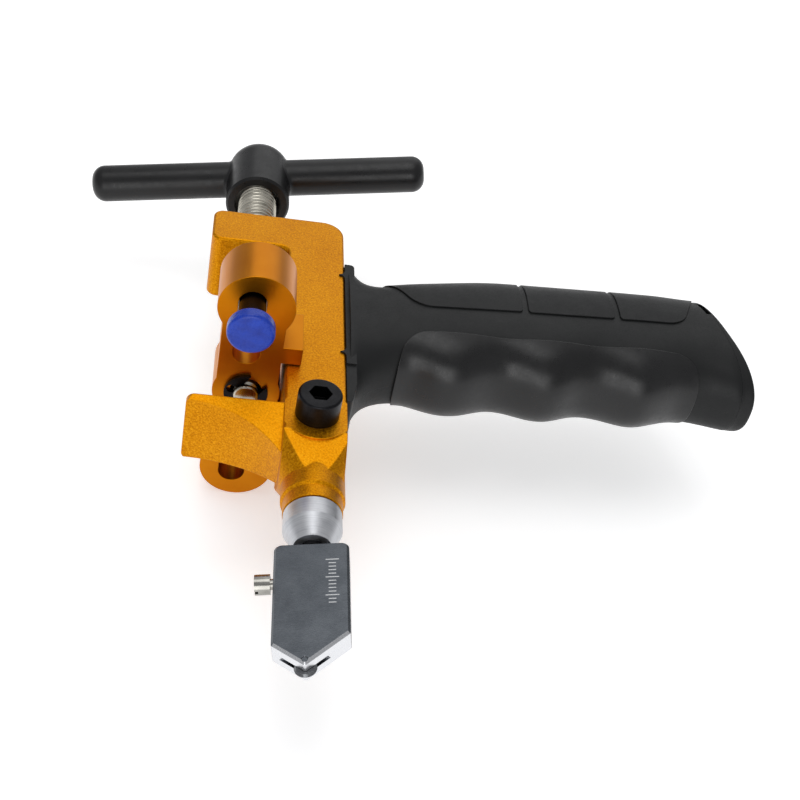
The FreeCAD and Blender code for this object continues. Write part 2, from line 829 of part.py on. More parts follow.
def swivel_pin():
    """Dark pin on which the head swivels, with a shoulder and a groove for the side screw."""
    neck = s.swivel_width / 2
    groove_y = HEAD_TOP - s.head_screw_drop
    groove_half = s.head_screw_size / 2 + 0.3
    node(turned("swivel_pin", (
        (0, COLLAR_END + s.swivel_above),
        (0, HEAD_TOP - s.swivel_below),
        (neck, HEAD_TOP - s.swivel_below),
        (neck, groove_y - groove_half),
        (neck - 0.8, groove_y - groove_half),
        (neck - 0.8, groove_y + groove_half),
        (neck, groove_y + groove_half),
        (neck, HEAD_TOP + s.running_gap),
        (s.swivel_shoulder / 2, HEAD_TOP + s.running_gap),
        (s.swivel_shoulder / 2, COLLAR_END),
        (neck, COLLAR_END),
        (neck, COLLAR_END + s.swivel_above),
    ), BARREL_X))


def head_spin():
    """The head's small turn about the swivel."""
    return Rotation(Vector(0, 1, 0), -float(s.head_turn))


def in_head(x, z):
    """A place in the head, given along its width and across its thickness."""
    spun = head_spin().multVec(Vector(float(x), 0, float(z)))
    return spun.x, spun.z


def head_rod(name, width, length, x, y, z, turn):
    """A round bar placed and turned with the head."""
    offset_x, offset_z = in_head(x, z)
    return rod(name, width, length, BARREL_X + offset_x, y, offset_z, head_spin().multiply(turn))


def cutter_head():
    """Steel block with a pointed foot that is slotted for the wheel."""
    half = s.head_width / 2
    body = new_body("head_plate", BARREL_X, HEAD_TOP, 0, head_spin())
    sketch = new_sketch(body, "head_outline", "XY_Plane")
    outline(sketch, (
        (-half, 0, s.head_corner),
        (-half, -s.head_left, 0.8),
        (-s.head_point_offset, -s.head_point, 0.8),
        (half, -s.head_right, 0.8),
        (half, 0, s.head_corner),
    ))
    plate = padded(body, sketch, s.head_thick, "head_pad")
    doc.recompute()
    rim = edges_where(plate.Shape, lambda edge: edge.BoundBox.ZLength < 1e-6)
    bevel = body.newObject("PartDesign::Chamfer", "head_bevel_cut")
    bevel.Base = (plate, rim)
    bind(bevel, "Size", s.head_bevel)
    slot_box = box("wheel_slot_cut", s.head_width * 2, s.wheel_slot_depth * 2, s.wheel_slot)
    slit_x, slit_z = in_head(-s.head_width, s.wheel_slot / -2)
    put(slot_box, BARREL_X + slit_x, WHEEL_Y + 3.6 - s.wheel_slot_depth * 2, slit_z, head_spin())
    pin_room = rod("swivel_bore", s.swivel_width + s.running_gap * 2, s.swivel_below + 1.3,
                   BARREL_X, HEAD_TOP - s.swivel_below - 0.3, 0, ALONG_Y)
    axle_room = head_rod("axle_bore", s.axle_width + s.running_gap * 2, s.head_thick * 2,
                         -s.head_point_offset, WHEEL_Y, -s.head_thick, STRAIGHT)
    screw_room = head_rod("head_screw_bore", s.head_screw_size + s.running_gap * 2, half + 1,
                          -half - 1, HEAD_TOP - s.head_screw_drop, 0, ALONG_X)
    node(cut("cutter_head", body, [slot_box, pin_room, axle_room, screw_room]))


def head_screw():
    """Slotted side screw; its tip runs in the pin's groove and keeps the head on."""
    half = s.head_width / 2
    drop = HEAD_TOP - s.head_screw_drop
    tip = s.swivel_width / 2 - 0.5
    head_low = half + s.head_screw_neck
    shank = head_rod("head_screw_shank", s.head_screw_size, head_low - tip,
                     -head_low, drop, 0, ALONG_X)
    head = head_rod("head_screw_blank", s.head_screw_head, s.head_screw_head_length,
                    -head_low - s.head_screw_head_length, drop, 0, ALONG_X)
    groove = box("head_screw_slot", 1.2, s.head_screw_head * 2, 0.9)
    slot_x, slot_z = in_head(-head_low - s.head_screw_head_length - 0.2, -0.45)
    put(groove, BARREL_X + slot_x, drop - s.head_screw_head, slot_z, head_spin())
    node(cut("head_screw", fuse("head_screw_solid", [shank, head]), [groove]))


def cutting_wheel():
    """Hard wheel with a V-shaped edge, on its axle."""
    spin = head_spin().multiply(Rotation(Vector(1, 0, 0), 90))
    wheel_x, wheel_z = in_head(-s.head_point_offset, 0)
    half = s.wheel_thick / 2
    rim = s.wheel_width / 2
    bore = s.axle_width / 2 + s.running_gap
    node(turned("cutting_wheel", (
        (bore, -half),
        (rim - half, -half),
        (rim, 0),
        (rim - half, half),
        (bore, half),
    ), BARREL_X + wheel_x, WHEEL_Y, wheel_z, spin))
    node(head_rod("wheel_axle", s.axle_width, s.head_thick - 0.4,
                  -s.head_point_offset, WHEEL_Y, (s.head_thick - 0.4) / -2, STRAIGHT))


# ---------------------------------------------------------------- grip

def smooth(value):
    """A smooth step from 0 to 1."""
    value = min(max(value, 0.0), 1.0)
    return value * value * (3 - 2 * value)


def grip_axis(x):
    """Height of the grip's centre line at x."""
    return float(s.grip_start_height) + float(s.grip_slope) * (x - float(FLANGE_X))


def grip_top(x):
    """Height of the grip's back above its centre line."""
    along = x - float(FLANGE_X)
    rise = smooth((along - float(s.grip_neck_length) * 0.5) / float(s.grip_rise_length))
    back = float(s.grip_neck_top) + (float(s.grip_top) - float(s.grip_neck_top)) * rise
    return back + flare(along) - end_ease(x) * float(s.end_drop)


def grip_bottom(x):
    """Depth of the grip's finger side below its centre line, with grooves for the fingers."""
    along = x - float(FLANGE_X)
    phase = 2 * math.pi * (along - float(s.first_groove)) / float(s.groove_pitch)
    groove = float(s.groove_depth) * (0.5 + 0.5 * math.cos(phase))
    return float(s.grip_bottom) - groove + flare(along) * 1.2


def grip_depth(x):
    """Half of the grip's thickness at x."""
    along = x - float(FLANGE_X)
    swell = smooth(along / float(s.grip_neck_length) / 2)
    neck = float(s.grip_neck_depth)
    thin = smooth(1 - (float(GRIP_END) - x) / float(s.end_lean_length)) * float(s.end_thin)
    return neck + (float(s.grip_half_depth) - neck) * swell - thin


def flare(along):
    """How far the grip spreads towards its flange."""
    left = max(0.0, 1 - along / float(s.flare_length))
    return float(s.flare_rise) * left * left


def end_ease(x):
    """How much the back drops in the last stretch before the end cap."""
    return smooth(1 - (float(GRIP_END) - x) / 18.0)


def lean(x):
    """How far the grip's sections lean towards the flange at the top, per unit of height."""
    return float(s.end_lean) * smooth(1 - (float(GRIP_END) - x) / float(s.end_lean_length))


def section(x, offset, shrink=1.0, more_lean=0.0):
    """A closed, softly square section of the grip at x, leaning near the grip's end."""
    power = 2 / 2.5
    top = (grip_top(x) + offset) * shrink
    bottom = (grip_bottom(x) + offset) * shrink
    depth = (grip_depth(x) + offset) * shrink
    points = []
    count = 28
    for index in range(count):
        angle = 2 * math.pi * index / count
        across = math.cos(angle)
        up = math.sin(angle)
        height = top if up >= 0 else bottom
        y = grip_axis(x) + math.copysign(abs(up) ** power, up) * height
        z = math.copysign(abs(across) ** power, across) * depth
        points.append(Vector(x - (lean(x) + more_lean) * (y - grip_axis(x)), y, z))
    curve = Part.BSplineCurve()
    curve.interpolate(Points=points, PeriodicFlag=True)
    return Part.Wire([curve.toShape()])


def stations(start, end):
    """Places along the grip for its sections: close near the flange, then evenly spaced."""
    step = float(s.groove_pitch) / 4
    near = [start + float(s.flare_length) * share for share in (0, 0.35, 0.8)]
    first = near[-1] + step * 0.6
    count = max(2, round((end - first) / step))
    return near + [first + (end - first) * index / count for index in range(count + 1)]


def grip_solid(offset, start, end):
    """The grip's body between two places, grown or shrunk by an offset."""
    wires = [section(x, offset) for x in stations(start, end)]
    return Part.makeLoft(wires, True, False)


def prism(corners, half_depth):
    """A straight prism of an outline in X and Y; each corner is (x, y) or (x, y, rounding)."""
    count = len(corners)
    points = [Vector(corner[0], corner[1], -half_depth) for corner in corners]
    starts = list(points)
    ends = list(points)
    bends = {}
    for index, corner in enumerate(corners):
        if len(corner) > 2:
            arc = corner_arc(points[index - 1], points[index], points[(index + 1) % count],
                             corner[2])
            ends[index], _, starts[index] = arc
            bends[index] = Part.Arc(*arc).toShape()
    edges = []
    for index in range(count):
        if index in bends:
            edges.append(bends[index])
        edges.append(Part.makeLine(starts[index], ends[(index + 1) % count]))
    return Part.Face(Part.Wire(edges)).extrude(Vector(0, 0, 2 * half_depth))


def back_panel_field(left, right, lead, tail):
    """Outline of one back panel, from far above the grip down to its lower edge."""
    far = 40.0
    slant = 1.5
    turn = float(s.panel_round)
    sweep = float(s.panel_sweep)
    low_left = grip_axis(left) + 0.4
    low_right = grip_axis(right) + 0.6
    start = ((left - lead * 1.4, low_left + far), (left + lead, low_left, sweep)) if lead else (
        (left, low_left + far), (left - slant, low_left, turn))
    finish = ((right - tail, low_right, sweep), (right + tail * 1.4, low_right + far)) if tail else (
        (right - slant, low_right, turn), (right, low_right + far))
    return (*start, *finish)


def panel_fields():
    """Outlines of the three back panels and of the finger panel, by name."""
    fields = {}
    left = float(FLANGE_X) + float(s.panel_start)
    lengths = (s.panel_1_length, s.panel_2_length, s.panel_3_length)
    for number, length in enumerate(lengths, start=1):
        right = left + float(length)
        lead = 9.0 if number == 1 else 0
        tail = 7.0 if number == 3 else 0
        fields[f"back_panel_{number}"] = back_panel_field(left, right, lead, tail)
        left = right + float(s.panel_gap)
    start = float(FLANGE_X) + float(s.finger_start)
    end = float(GRIP_END) - float(s.finger_end)
    sweep = float(s.panel_sweep)
    fields["finger_panel"] = (
        (start - 3.0, grip_axis(start) - 50.0),
        (start + 5.0, grip_axis(start) - 11.0, sweep),
        (end + 1.0, grip_axis(end) - 13.0, sweep),
        (end - 3.0, grip_axis(end) - 50.0))
    return fields


def feature(name, shape):
    """A finished shape that this file works out from the sheet's sizes."""
    item = doc.addObject("Part::Feature", name)
    item.Shape = shape
    item.Placement = FreeCAD.Placement()
    return item


def flange():
    """Flat plate that seats on the column's side, thinner at its foot, with locating thorns."""
    half = float(s.flange_depth) / 2
    left = float(COLUMN_RIGHT)
    right = float(FLANGE_X)
    low = float(s.flange_bottom)
    high = float(s.flange_top)
    step = float(s.flange_step)
    taper = float(s.flange_taper)
    edge = 1.5
    plate = prism(((left, step), (right, step), (right, high, edge), (left, high)), half)
    middle = (left + right) / 2
    foot = prism(((left, low), (middle, low, edge / 2), (right, low + taper, edge),
                  (right, step + 1), (left, step + 1)), float(FRONT))
    plate = plate.fuse(foot)
    reach = float(s.flange_tab_reach)
    top = float(s.flange_tab_top)
    for tab_y in (top, top - float(s.flange_tab_spread)):
        thorn = ((left, tab_y + reach), (left - reach * 0.3, tab_y + reach * 0.3),
                 (left - reach, tab_y), (left - reach * 0.3, tab_y - reach * 0.3),
                 (left, tab_y - reach))
        blank = prism(thorn, half)
        gap = Part.makeBox(reach * 3, reach * 3, float(FRONT) * 2,
                           Vector(left - reach * 2, tab_y - reach * 1.5, -float(FRONT)))
        plate = plate.fuse(blank.cut(gap))
    return plate


def bolt_way(radius, start, end):
    """A round cutter along the grip's bolt."""
    return Part.makeCylinder(radius, end - start, Vector(start, float(s.grip_start_height), 0),
                             Vector(1, 0, 0))


def grip_moulding():
    """The hollow grip before it is split, without the panels' pockets."""
    start = float(FLANGE_X) - float(s.flange_thick) * 0.6
    end = float(GRIP_END)
    wall = float(s.shell_wall)
    outer = grip_solid(0, start, end).fuse(flange())
    hollow = grip_solid(-wall, float(FLANGE_X) + 2.0, end - float(s.end_wall))
    bolt_room = bolt_way(float(s.bolt_size) / 2 + float(s.loose_gap), start - 5, end + 5)
    return outer.cut(hollow).cut(bolt_room).cut(head_room())


def head_room():
    """Round room for the bolt's head and washer, in the grip's end and in the cap."""
    seat = float(GRIP_END) - float(s.bolt_room_depth)
    end = seat + float(s.bolt_washer_thick) + float(s.bolt_head_height) + 0.6
    return bolt_way(float(s.bolt_washer_width) / 2 + float(s.loose_gap), seat, end)


def notch_field():
    """Outline, seen from the front, of the short notch in each shell at the cap's seam."""
    low = float(s.notch_rise)
    high = low + float(s.notch_length)
    seam = float(GRIP_END)
    axis = grip_axis(seam)
    reach = float(s.notch_width)
    tilt = lean(seam)
    return [(seam - reach - tilt * low, axis + low),
            (seam + 1 - tilt * low, axis + low),
            (seam + 1 - tilt * high, axis + high),
            (seam - reach - tilt * high, axis + high)]


def grip():
    """Two half shells, three back panels and the finger panel let into them."""
    moulding = grip_moulding()
    start = float(FLANGE_X) + 3.0
    end = float(GRIP_END) - 1.0
    floor = grip_solid(-float(s.panel_inset), start, end)
    skin = grip_solid(float(s.panel_proud), start, end)
    depth = float(s.grip_half_depth) * 2
    for name, field in panel_fields().items():
        region = prism(field, depth)
        panel = region.common(skin).cut(floor)
        moulding = moulding.cut(region.cut(floor))
        node(feature(name, panel))
    notch = prism(notch_field(), depth)
    moulding = moulding.cut(notch.cut(floor))
    for name, z in (("grip_shell_front", 0), ("grip_shell_rear", -100)):
        half_space = Part.makeBox(400, 400, 100, Vector(-100, -200, z))
        node(feature(name, moulding.common(half_space)))


def end_cap():
    """Domed cap that closes the grip's end, fuller at its lower side, hollow over the bolt."""
    left = float(GRIP_END) + float(s.running_gap)
    wires = [cap_section(left, 0, 1)]
    for along, shrink in ((0.45, 0.985), (0.78, 0.945), (0.94, 0.88), (1.0, 0.78)):
        wires.append(cap_section(left, along, shrink))
    dome = Part.makeLoft(wires, True, False)
    node(feature("end_cap", dome.cut(head_room())))


def cap_section(x, along, shrink):
    """The end section, shrunk and moved out and down, as a share of the cap's bulge."""
    wire = section(x, 0, shrink, float(s.cap_lean) * along)
    wire.translate(Vector(float(s.cap_bulge) * along, -float(s.cap_sag) * along * along, 0))
    return wire


def grip_bolt():
    """Long bolt that holds the grip on the frame, its washer, and the spine tube around it."""
    bolt_y = s.grip_start_height
    washer_place = GRIP_END - s.bolt_room_depth
    seat = washer_place + s.bolt_washer_thick
    start = COLUMN_RIGHT - s.bolt_grip_in_frame
    shank = rod("bolt_shank", s.bolt_size, seat - start, start, bolt_y, 0, ALONG_X)
    head = rod("bolt_head", s.bolt_head_width, s.bolt_head_height, seat, bolt_y, 0, ALONG_X)
    key = hex_bar("bolt_key", s.bolt_key_width, s.bolt_head_height,
                  seat + s.bolt_head_height * 0.4, bolt_y, 0, ALONG_X)
    node(cut("grip_bolt", fuse("bolt_solid", [shank, head]), [key]))
    ring = rod("bolt_washer_blank", s.bolt_washer_width, s.bolt_washer_thick,
               washer_place, bolt_y, 0, ALONG_X)
    hole = rod("bolt_washer_hole", s.bolt_size + s.running_gap * 2, s.bolt_washer_thick + 2,
               washer_place - 1, bolt_y, 0, ALONG_X)
    node(cut("grip_washer", ring, [hole]))
    spine_start = FLANGE_X + 2
    length = GRIP_END - s.end_wall - s.spine_gap - spine_start
    tube = rod("spine_blank", s.spine_width, length, spine_start, bolt_y, 0, ALONG_X)
    room = rod("spine_hole", s.bolt_size + s.loose_gap * 2, length + 2,
               spine_start - 1, bolt_y, 0, ALONG_X)
    node(cut("grip_spine", tube, [room]))


# ---------------------------------------------------------------- build, check and write

def check(item):
    """Stop if an object failed, or has no sound shape."""
    if not item.Shape or item.Shape.isNull() or not item.Shape.isValid():
        raise ValueError(f"{item.Label} has no valid shape")


def write_parts():
    """Check every object, then write each sub-part to its own file."""
    doc.recompute()
    for item in doc.Objects:
        if "Invalid" in item.State or "Error" in item.State:
            raise ValueError(f"{item.Label} failed: {item.State}")
    os.makedirs("parts", exist_ok=True)
    for item in nodes:
        check(item)
        item.Shape.exportStep(f"parts/{item.Label}.step")
        print(item.Label, round(item.Shape.Volume, 1))


frame_body()
clamp_screw()
spindle()
spindle_clip()
thrust_washer()
t_handle()
handle_pin()
press_block()
pad("front", s.front_pad_place, s.front_pad_drop)
pad("rear", -s.rear_pad_place, s.rear_pad_drop)
cutter_shank()
cutter_collar()
swivel_pin()
cutter_head()
head_screw()
cutting_wheel()
grip()
end_cap()
grip_bolt()
write_parts()
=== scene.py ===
"""Looks of a hand-held glass and tile cutter with a screw press.

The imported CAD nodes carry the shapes. This script gives each of them the finish of the real
part. It makes the rolled threads and the etched scale, which are finer than the CAD model, and
a collar with a longer taper than the CAD one.
"""

import logging
import math
from dataclasses import dataclass
from enum import Enum
from typing import Any, Sequence

import bmesh
import bpy
from mathutils import Matrix, Vector


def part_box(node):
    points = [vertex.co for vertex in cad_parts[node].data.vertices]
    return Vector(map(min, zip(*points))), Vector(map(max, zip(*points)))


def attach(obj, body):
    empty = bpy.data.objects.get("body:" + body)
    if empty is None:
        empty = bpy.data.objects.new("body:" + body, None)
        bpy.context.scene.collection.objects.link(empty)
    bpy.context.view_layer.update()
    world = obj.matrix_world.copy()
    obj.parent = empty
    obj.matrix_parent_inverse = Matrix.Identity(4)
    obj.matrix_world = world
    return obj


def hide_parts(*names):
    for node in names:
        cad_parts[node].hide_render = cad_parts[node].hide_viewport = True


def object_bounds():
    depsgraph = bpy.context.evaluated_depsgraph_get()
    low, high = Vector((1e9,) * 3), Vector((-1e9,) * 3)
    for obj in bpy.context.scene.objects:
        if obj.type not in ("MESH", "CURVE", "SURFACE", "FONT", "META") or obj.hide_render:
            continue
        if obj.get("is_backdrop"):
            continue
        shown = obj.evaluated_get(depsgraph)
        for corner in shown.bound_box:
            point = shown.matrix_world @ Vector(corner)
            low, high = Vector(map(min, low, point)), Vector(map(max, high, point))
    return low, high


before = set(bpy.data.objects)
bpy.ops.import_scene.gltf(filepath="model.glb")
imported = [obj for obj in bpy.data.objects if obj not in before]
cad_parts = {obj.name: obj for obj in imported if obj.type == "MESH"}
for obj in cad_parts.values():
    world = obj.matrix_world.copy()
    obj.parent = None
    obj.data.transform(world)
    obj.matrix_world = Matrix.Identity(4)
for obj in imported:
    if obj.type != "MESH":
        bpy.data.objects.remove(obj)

LOG = logging.getLogger("glass_cutter")
MM = 0.001
ON_AXIS = 1e-7  # metres: a smaller radius is a point on the axis
LONG_RUN = 5 * MM  # a longer straight run is divided into rows


# ---------------------------------------------------------------- small helpers

def linear(colour: str) -> tuple[float, float, float, float]:
    """Turn an sRGB hex colour into linear light.

    Args:
        colour: Six hex digits after a hash.

    Returns:
        Red, green, blue and alpha for a shader socket.
    """
    parts = [int(colour[place:place + 2], 16) / 255 for place in (1, 3, 5)]
    light = [part / 12.92 if part <= 0.04045 else ((part + 0.055) / 1.055) ** 2.4
             for part in parts]
    return light[0], light[1], light[2], 1.0


def add_node(tree: bpy.types.NodeTree, kind: str, inputs: dict[Any, Any] | None = None,
             **settings: Any) -> bpy.types.Node:
    """Add one node with its settings, its input values and its incoming links.

    Args:
        tree: The shader or geometry tree.
        kind: Blender's name of the node type.
        inputs: Socket name or number, to a value or to another node's output socket.
        **settings: The node's own properties.

    Returns:
        The new node.
    """
    node = tree.nodes.new(kind)
    for name, value in settings.items():
        setattr(node, name, value)
    for name, value in (inputs or {}).items():
        if isinstance(value, bpy.types.NodeSocket):
            tree.links.new(value, node.inputs[name])
        else:
            node.inputs[name].default_value = value
    return node


def ramp(tree: bpy.types.NodeTree, factor: bpy.types.NodeSocket,
         stops: Sequence[tuple[float, str]]) -> bpy.types.NodeSocket:
    """Colour a factor through stops.

    Args:
        tree: The shader tree.
        factor: What drives the colour, from 0 to 1.
        stops: Place and hex colour of each stop, lowest first.

    Returns:
        The colour output.
    """
    node = add_node(tree, "ShaderNodeValToRGB", {"Fac": factor})
    elements = node.color_ramp.elements
    while len(elements) < len(stops):
        elements.new(0.5)
    for element, (place, colour) in zip(elements, stops):
        element.position = place
        element.color = linear(colour)
    return node.outputs["Color"]


def noise(tree: bpy.types.NodeTree, vector: bpy.types.NodeSocket, size_mm: float,
          detail: float = 3.0, roughness: float = 0.55) -> bpy.types.NodeSocket:
    """Grey noise whose blotches have a real size.

    Args:
        tree: The shader tree.
        vector: Coordinates in metres.
        size_mm: Size of one blotch in millimetres.
        detail: How many finer layers are added.
        roughness: How strong the finer layers are.

    Returns:
        The factor output.
    """
    node = add_node(tree, "ShaderNodeTexNoise", {
        "Vector": vector, "Scale": 1 / (size_mm * MM), "Detail": detail,
        "Roughness": roughness})
    return node.outputs["Fac"]


def spread(tree: bpy.types.NodeTree, value: bpy.types.NodeSocket, low: float, high: float,
           start: float = 0.0, end: float = 1.0) -> bpy.types.NodeSocket:
    """Move a factor from one range into another.

    Args:
        tree: The shader tree.
        value: The factor.
        low: Result at the start of the range.
        high: Result at the end of the range.
        start: Where the factor's range starts.
        end: Where it ends.

    Returns:
        The result output.
    """
    node = add_node(tree, "ShaderNodeMapRange", {
        "Value": value, "From Min": start, "From Max": end, "To Min": low, "To Max": high})
    return node.outputs["Result"]


# ---------------------------------------------------------------- finishes

class Lay(Enum):
    """Which way the fine lines of a machined face run."""

    TURNED = "rings about the press screw's direction"
    MILLED = "straight lines along the handle's direction"
    NONE = "no lines"


@dataclass(frozen=True)
class Surface:
    """What every finish holds: its name and its shader's plain numbers."""

    name: str
    metallic: float
    roughness: float
    edge_mm: float = 0.0
    specular: float = 0.5

    def start(self) -> tuple[bpy.types.Material, bpy.types.NodeTree, bpy.types.Node,
                             bpy.types.NodeSocket]:
        """Make the material with its shader.

        Returns:
            The material, its tree, its shader node and the Object coordinates.
        """
        material = bpy.data.materials.new(self.name)
        material.use_nodes = True
        tree = material.node_tree
        shader = tree.nodes["Principled BSDF"]
        shader.inputs["Metallic"].default_value = self.metallic
        shader.inputs["Roughness"].default_value = self.roughness
        if not self.metallic:
            shader.inputs["Specular IOR Level"].default_value = self.specular
        place = add_node(tree, "ShaderNodeTexCoord")
        return material, tree, shader, place.outputs["Object"]

    def relief(self, tree: bpy.types.NodeTree, shader: bpy.types.Node,
               height: bpy.types.NodeSocket, depth_mm: float) -> None:
        """Give the surface its relief, over edges that are slightly rounded.

        Args:
            tree: The shader tree.
            shader: The shader node.
            height: Height of the relief, from 0 to 1.
            depth_mm: Depth of the relief.
        """
        inputs: dict[Any, Any] = {"Height": height, "Distance": depth_mm * MM}
        if self.edge_mm:
            rounded = add_node(tree, "ShaderNodeBevel", {"Radius": self.edge_mm * MM}, samples=6)
            inputs["Normal"] = rounded.outputs["Normal"]
        bump = add_node(tree, "ShaderNodeBump", inputs)
        tree.links.new(bump.outputs["Normal"], shader.inputs["Normal"])


@dataclass(frozen=True)
class BlastedAnodising(Surface):
    """Aluminium casting, blasted and gold anodised."""

    dark: str = "#a05c02"
    middle: str = "#ca8208"
    light: str = "#e8a81c"
    grain_mm: float = 0.55
    depth_mm: float = 0.07

    def material(self) -> bpy.types.Material:
        """Fine matt grain that glitters, with a soft cloudiness in the dyed layer."""
        material, tree, shader, place = self.start()
        # Blasting leaves dimples of 0.2 to 0.4 mm; they are drawn at 0.55 mm so that they show.
        grain = noise(tree, place, self.grain_mm, 2.0, 0.7)
        cloud = noise(tree, place, 14.0, 2.0)
        mixed = add_node(tree, "ShaderNodeMath", {0: grain, 1: 0.72}, operation="MULTIPLY")
        total = add_node(tree, "ShaderNodeMath", {
            0: spread(tree, cloud, 0.08, 0.2), 1: mixed.outputs[0]}, operation="ADD")
        tint = ramp(tree, total.outputs[0], (
            (0.3, self.dark), (0.5, self.middle), (0.7, self.light)))
        tree.links.new(tint, shader.inputs["Base Color"])
        tree.links.new(spread(tree, grain, self.roughness - 0.08, self.roughness + 0.12, 0.3, 0.7),
                       shader.inputs["Roughness"])
        self.relief(tree, shader, grain, self.depth_mm)
        return material


@dataclass(frozen=True)
class MilledAnodising(Surface):
    """Extruded and milled aluminium bar, gold anodised."""

    dark: str = "#bd7008"
    light: str = "#d58a18"
    line_mm: float = 0.3
    depth_mm: float = 0.012

    def material(self) -> bpy.types.Material:
        """Smooth satin sides, and cut faces with faint straight lines from the cutter."""
        material, tree, shader, place = self.start()
        # The cutter's lines are about 0.15 mm apart; they are drawn at 0.3 mm so that they show.
        along = add_node(tree, "ShaderNodeMapping", {
            "Vector": place, "Scale": (0.02, 0.02, 1.0)})
        lines = noise(tree, along.outputs["Vector"], self.line_mm, 3.0, 0.6)
        cloud = noise(tree, place, 9.0, 3.0)
        facing = add_node(tree, "ShaderNodeNewGeometry")
        split = add_node(tree, "ShaderNodeSeparateXYZ", {"Vector": facing.outputs["Normal"]})
        share = add_node(tree, "ShaderNodeMath", {0: lines, 1: 0.1}, operation="MULTIPLY")
        total = add_node(tree, "ShaderNodeMath", {
            0: spread(tree, cloud, 0.2, 0.5), 1: share.outputs[0]}, operation="ADD")
        tint = ramp(tree, total.outputs[0], ((0.3, self.dark), (0.72, self.light)))
        tree.links.new(tint, shader.inputs["Base Color"])
        tree.links.new(spread(tree, lines, self.roughness - 0.02, self.roughness + 0.04, 0.3, 0.7),
                       shader.inputs["Roughness"])
        cut = add_node(tree, "ShaderNodeMath", {0: split.outputs["Y"]}, operation="ABSOLUTE")
        height = add_node(tree, "ShaderNodeMath", {0: lines, 1: cut.outputs[0]},
                          operation="MULTIPLY")
        self.relief(tree, shader, height.outputs[0], self.depth_mm)
        return material


@dataclass(frozen=True)
class Moulding(Surface):
    """Black injection-moulded plastic."""

    dark: str = "#0d0d0e"
    light: str = "#1c1c1e"
    grain_mm: float = 0.5
    depth_mm: float = 0.03
    scuff: float = 0.0

    def material(self) -> bpy.types.Material:
        """Fine spark-eroded grain with a dull sheen, and slight handling marks."""
        material, tree, shader, place = self.start()
        # Spark texture is about 0.1 mm; it is drawn coarser so that it shows.
        grain = noise(tree, place, self.grain_mm, 2.0, 0.65)
        cloud = noise(tree, place, 22.0, 3.0)
        wear = noise(tree, place, 5.0, 5.0, 0.7)
        tint = ramp(tree, cloud, ((0.3, self.dark), (0.72, self.light)))
        tree.links.new(tint, shader.inputs["Base Color"])
        rough = add_node(tree, "ShaderNodeMath", {
            0: spread(tree, grain, self.roughness - 0.05, self.roughness + 0.06, 0.3, 0.7),
            1: spread(tree, wear, -0.1 * self.scuff, 0.1 * self.scuff, 0.35, 0.65)},
            operation="ADD")
        tree.links.new(rough.outputs[0], shader.inputs["Roughness"])
        self.relief(tree, shader, grain, self.depth_mm)
        return material


@dataclass(frozen=True)
class Steel(Surface):
    """Machined, ground or plated steel."""

    dark: str = "#7a7c80"
    light: str = "#c9cbce"
    lay: Lay = Lay.NONE
    line_mm: float = 0.35
    depth_mm: float = 0.006
    # Pale colour of a painted highlight on the faces that point down Y, and where the highlight
    # starts and is full
    painted_highlight_colour: str = ""
    painted_highlight_starts: float = -0.3
    painted_highlight_full: float = -0.6

    def material(self) -> bpy.types.Material:
        """Bright metal with the fine lines of its making and a little uneven tone."""
        material, tree, shader, place = self.start()
        stretch = {Lay.TURNED: (0.03, 1.0, 0.03), Lay.MILLED: (0.03, 1.0, 1.0),
                   Lay.NONE: (1.0, 1.0, 1.0)}[self.lay]
        along = add_node(tree, "ShaderNodeMapping", {"Vector": place, "Scale": stretch})
        lines = noise(tree, along.outputs["Vector"], self.line_mm, 3.0, 0.6)
        cloud = noise(tree, place, 6.0, 3.0)
        mixed = add_node(tree, "ShaderNodeMath", {
            0: spread(tree, lines, 0.0, 0.5), 1: spread(tree, cloud, 0.0, 0.5)}, operation="ADD")
        tint = ramp(tree, mixed.outputs[0], ((0.3, self.dark), (0.65, self.light)))
        # Faces that point down Y get a painted highlight when a colour is given
        if self.painted_highlight_colour:
            tint = self.paint_highlight_below(tree, tint)
        tree.links.new(tint, shader.inputs["Base Color"])
        tree.links.new(spread(tree, lines, self.roughness - 0.05, self.roughness + 0.09, 0.3, 0.7),
                       shader.inputs["Roughness"])
        self.relief(tree, shader, lines, self.depth_mm)
        return material


    def paint_highlight_below(self, tree: bpy.types.NodeTree,
                       tint: bpy.types.NodeSocket) -> bpy.types.NodeSocket:
        """Paint a highlight in a pale colour on the faces that point down the part's own Y.

        Args:
            tree: The shader tree.
            tint: Colour of the other faces.

        Returns:
            The colour of all faces.
        """
        own = add_node(tree, "ShaderNodeTexCoord")
        split = add_node(tree, "ShaderNodeSeparateXYZ", {"Vector": own.outputs["Normal"]})
        share = spread(tree, split.outputs["Y"], 1.0, 0.0, self.painted_highlight_full,
                       self.painted_highlight_starts)
        mix = add_node(tree, "ShaderNodeMixRGB", {"Fac": share, "Color1": tint,
                                                  "Color2": linear(self.painted_highlight_colour)})
        return mix.outputs["Color"]


@dataclass(frozen=True)
class SoftCap(Surface):
    """Dipped soft vinyl."""

    dark: str = "#0c2a8e"
    light: str = "#173fb0"
    skin_mm: float = 0.8
    depth_mm: float = 0.003
    glow_share: float = 0.05
    glow_mm: float = 0.6

    def material(self) -> bpy.types.Material:
        """Saturated, slightly waxy plastic with broad soft highlights and faint flow marks."""
        material, tree, shader, place = self.start()
        cloud = noise(tree, place, 4.0, 4.0, 0.6)
        skin = noise(tree, place, self.skin_mm, 2.0)
        tint = ramp(tree, cloud, ((0.3, self.dark), (0.7, self.light)))
        tree.links.new(tint, shader.inputs["Base Color"])
        tree.links.new(spread(tree, skin, self.roughness - 0.05, self.roughness + 0.08, 0.3, 0.7),
                       shader.inputs["Roughness"])
        shader.inputs["Subsurface Weight"].default_value = self.glow_share
        shader.inputs["Subsurface Scale"].default_value = self.glow_mm * MM
        self.relief(tree, shader, skin, self.depth_mm)
        return material


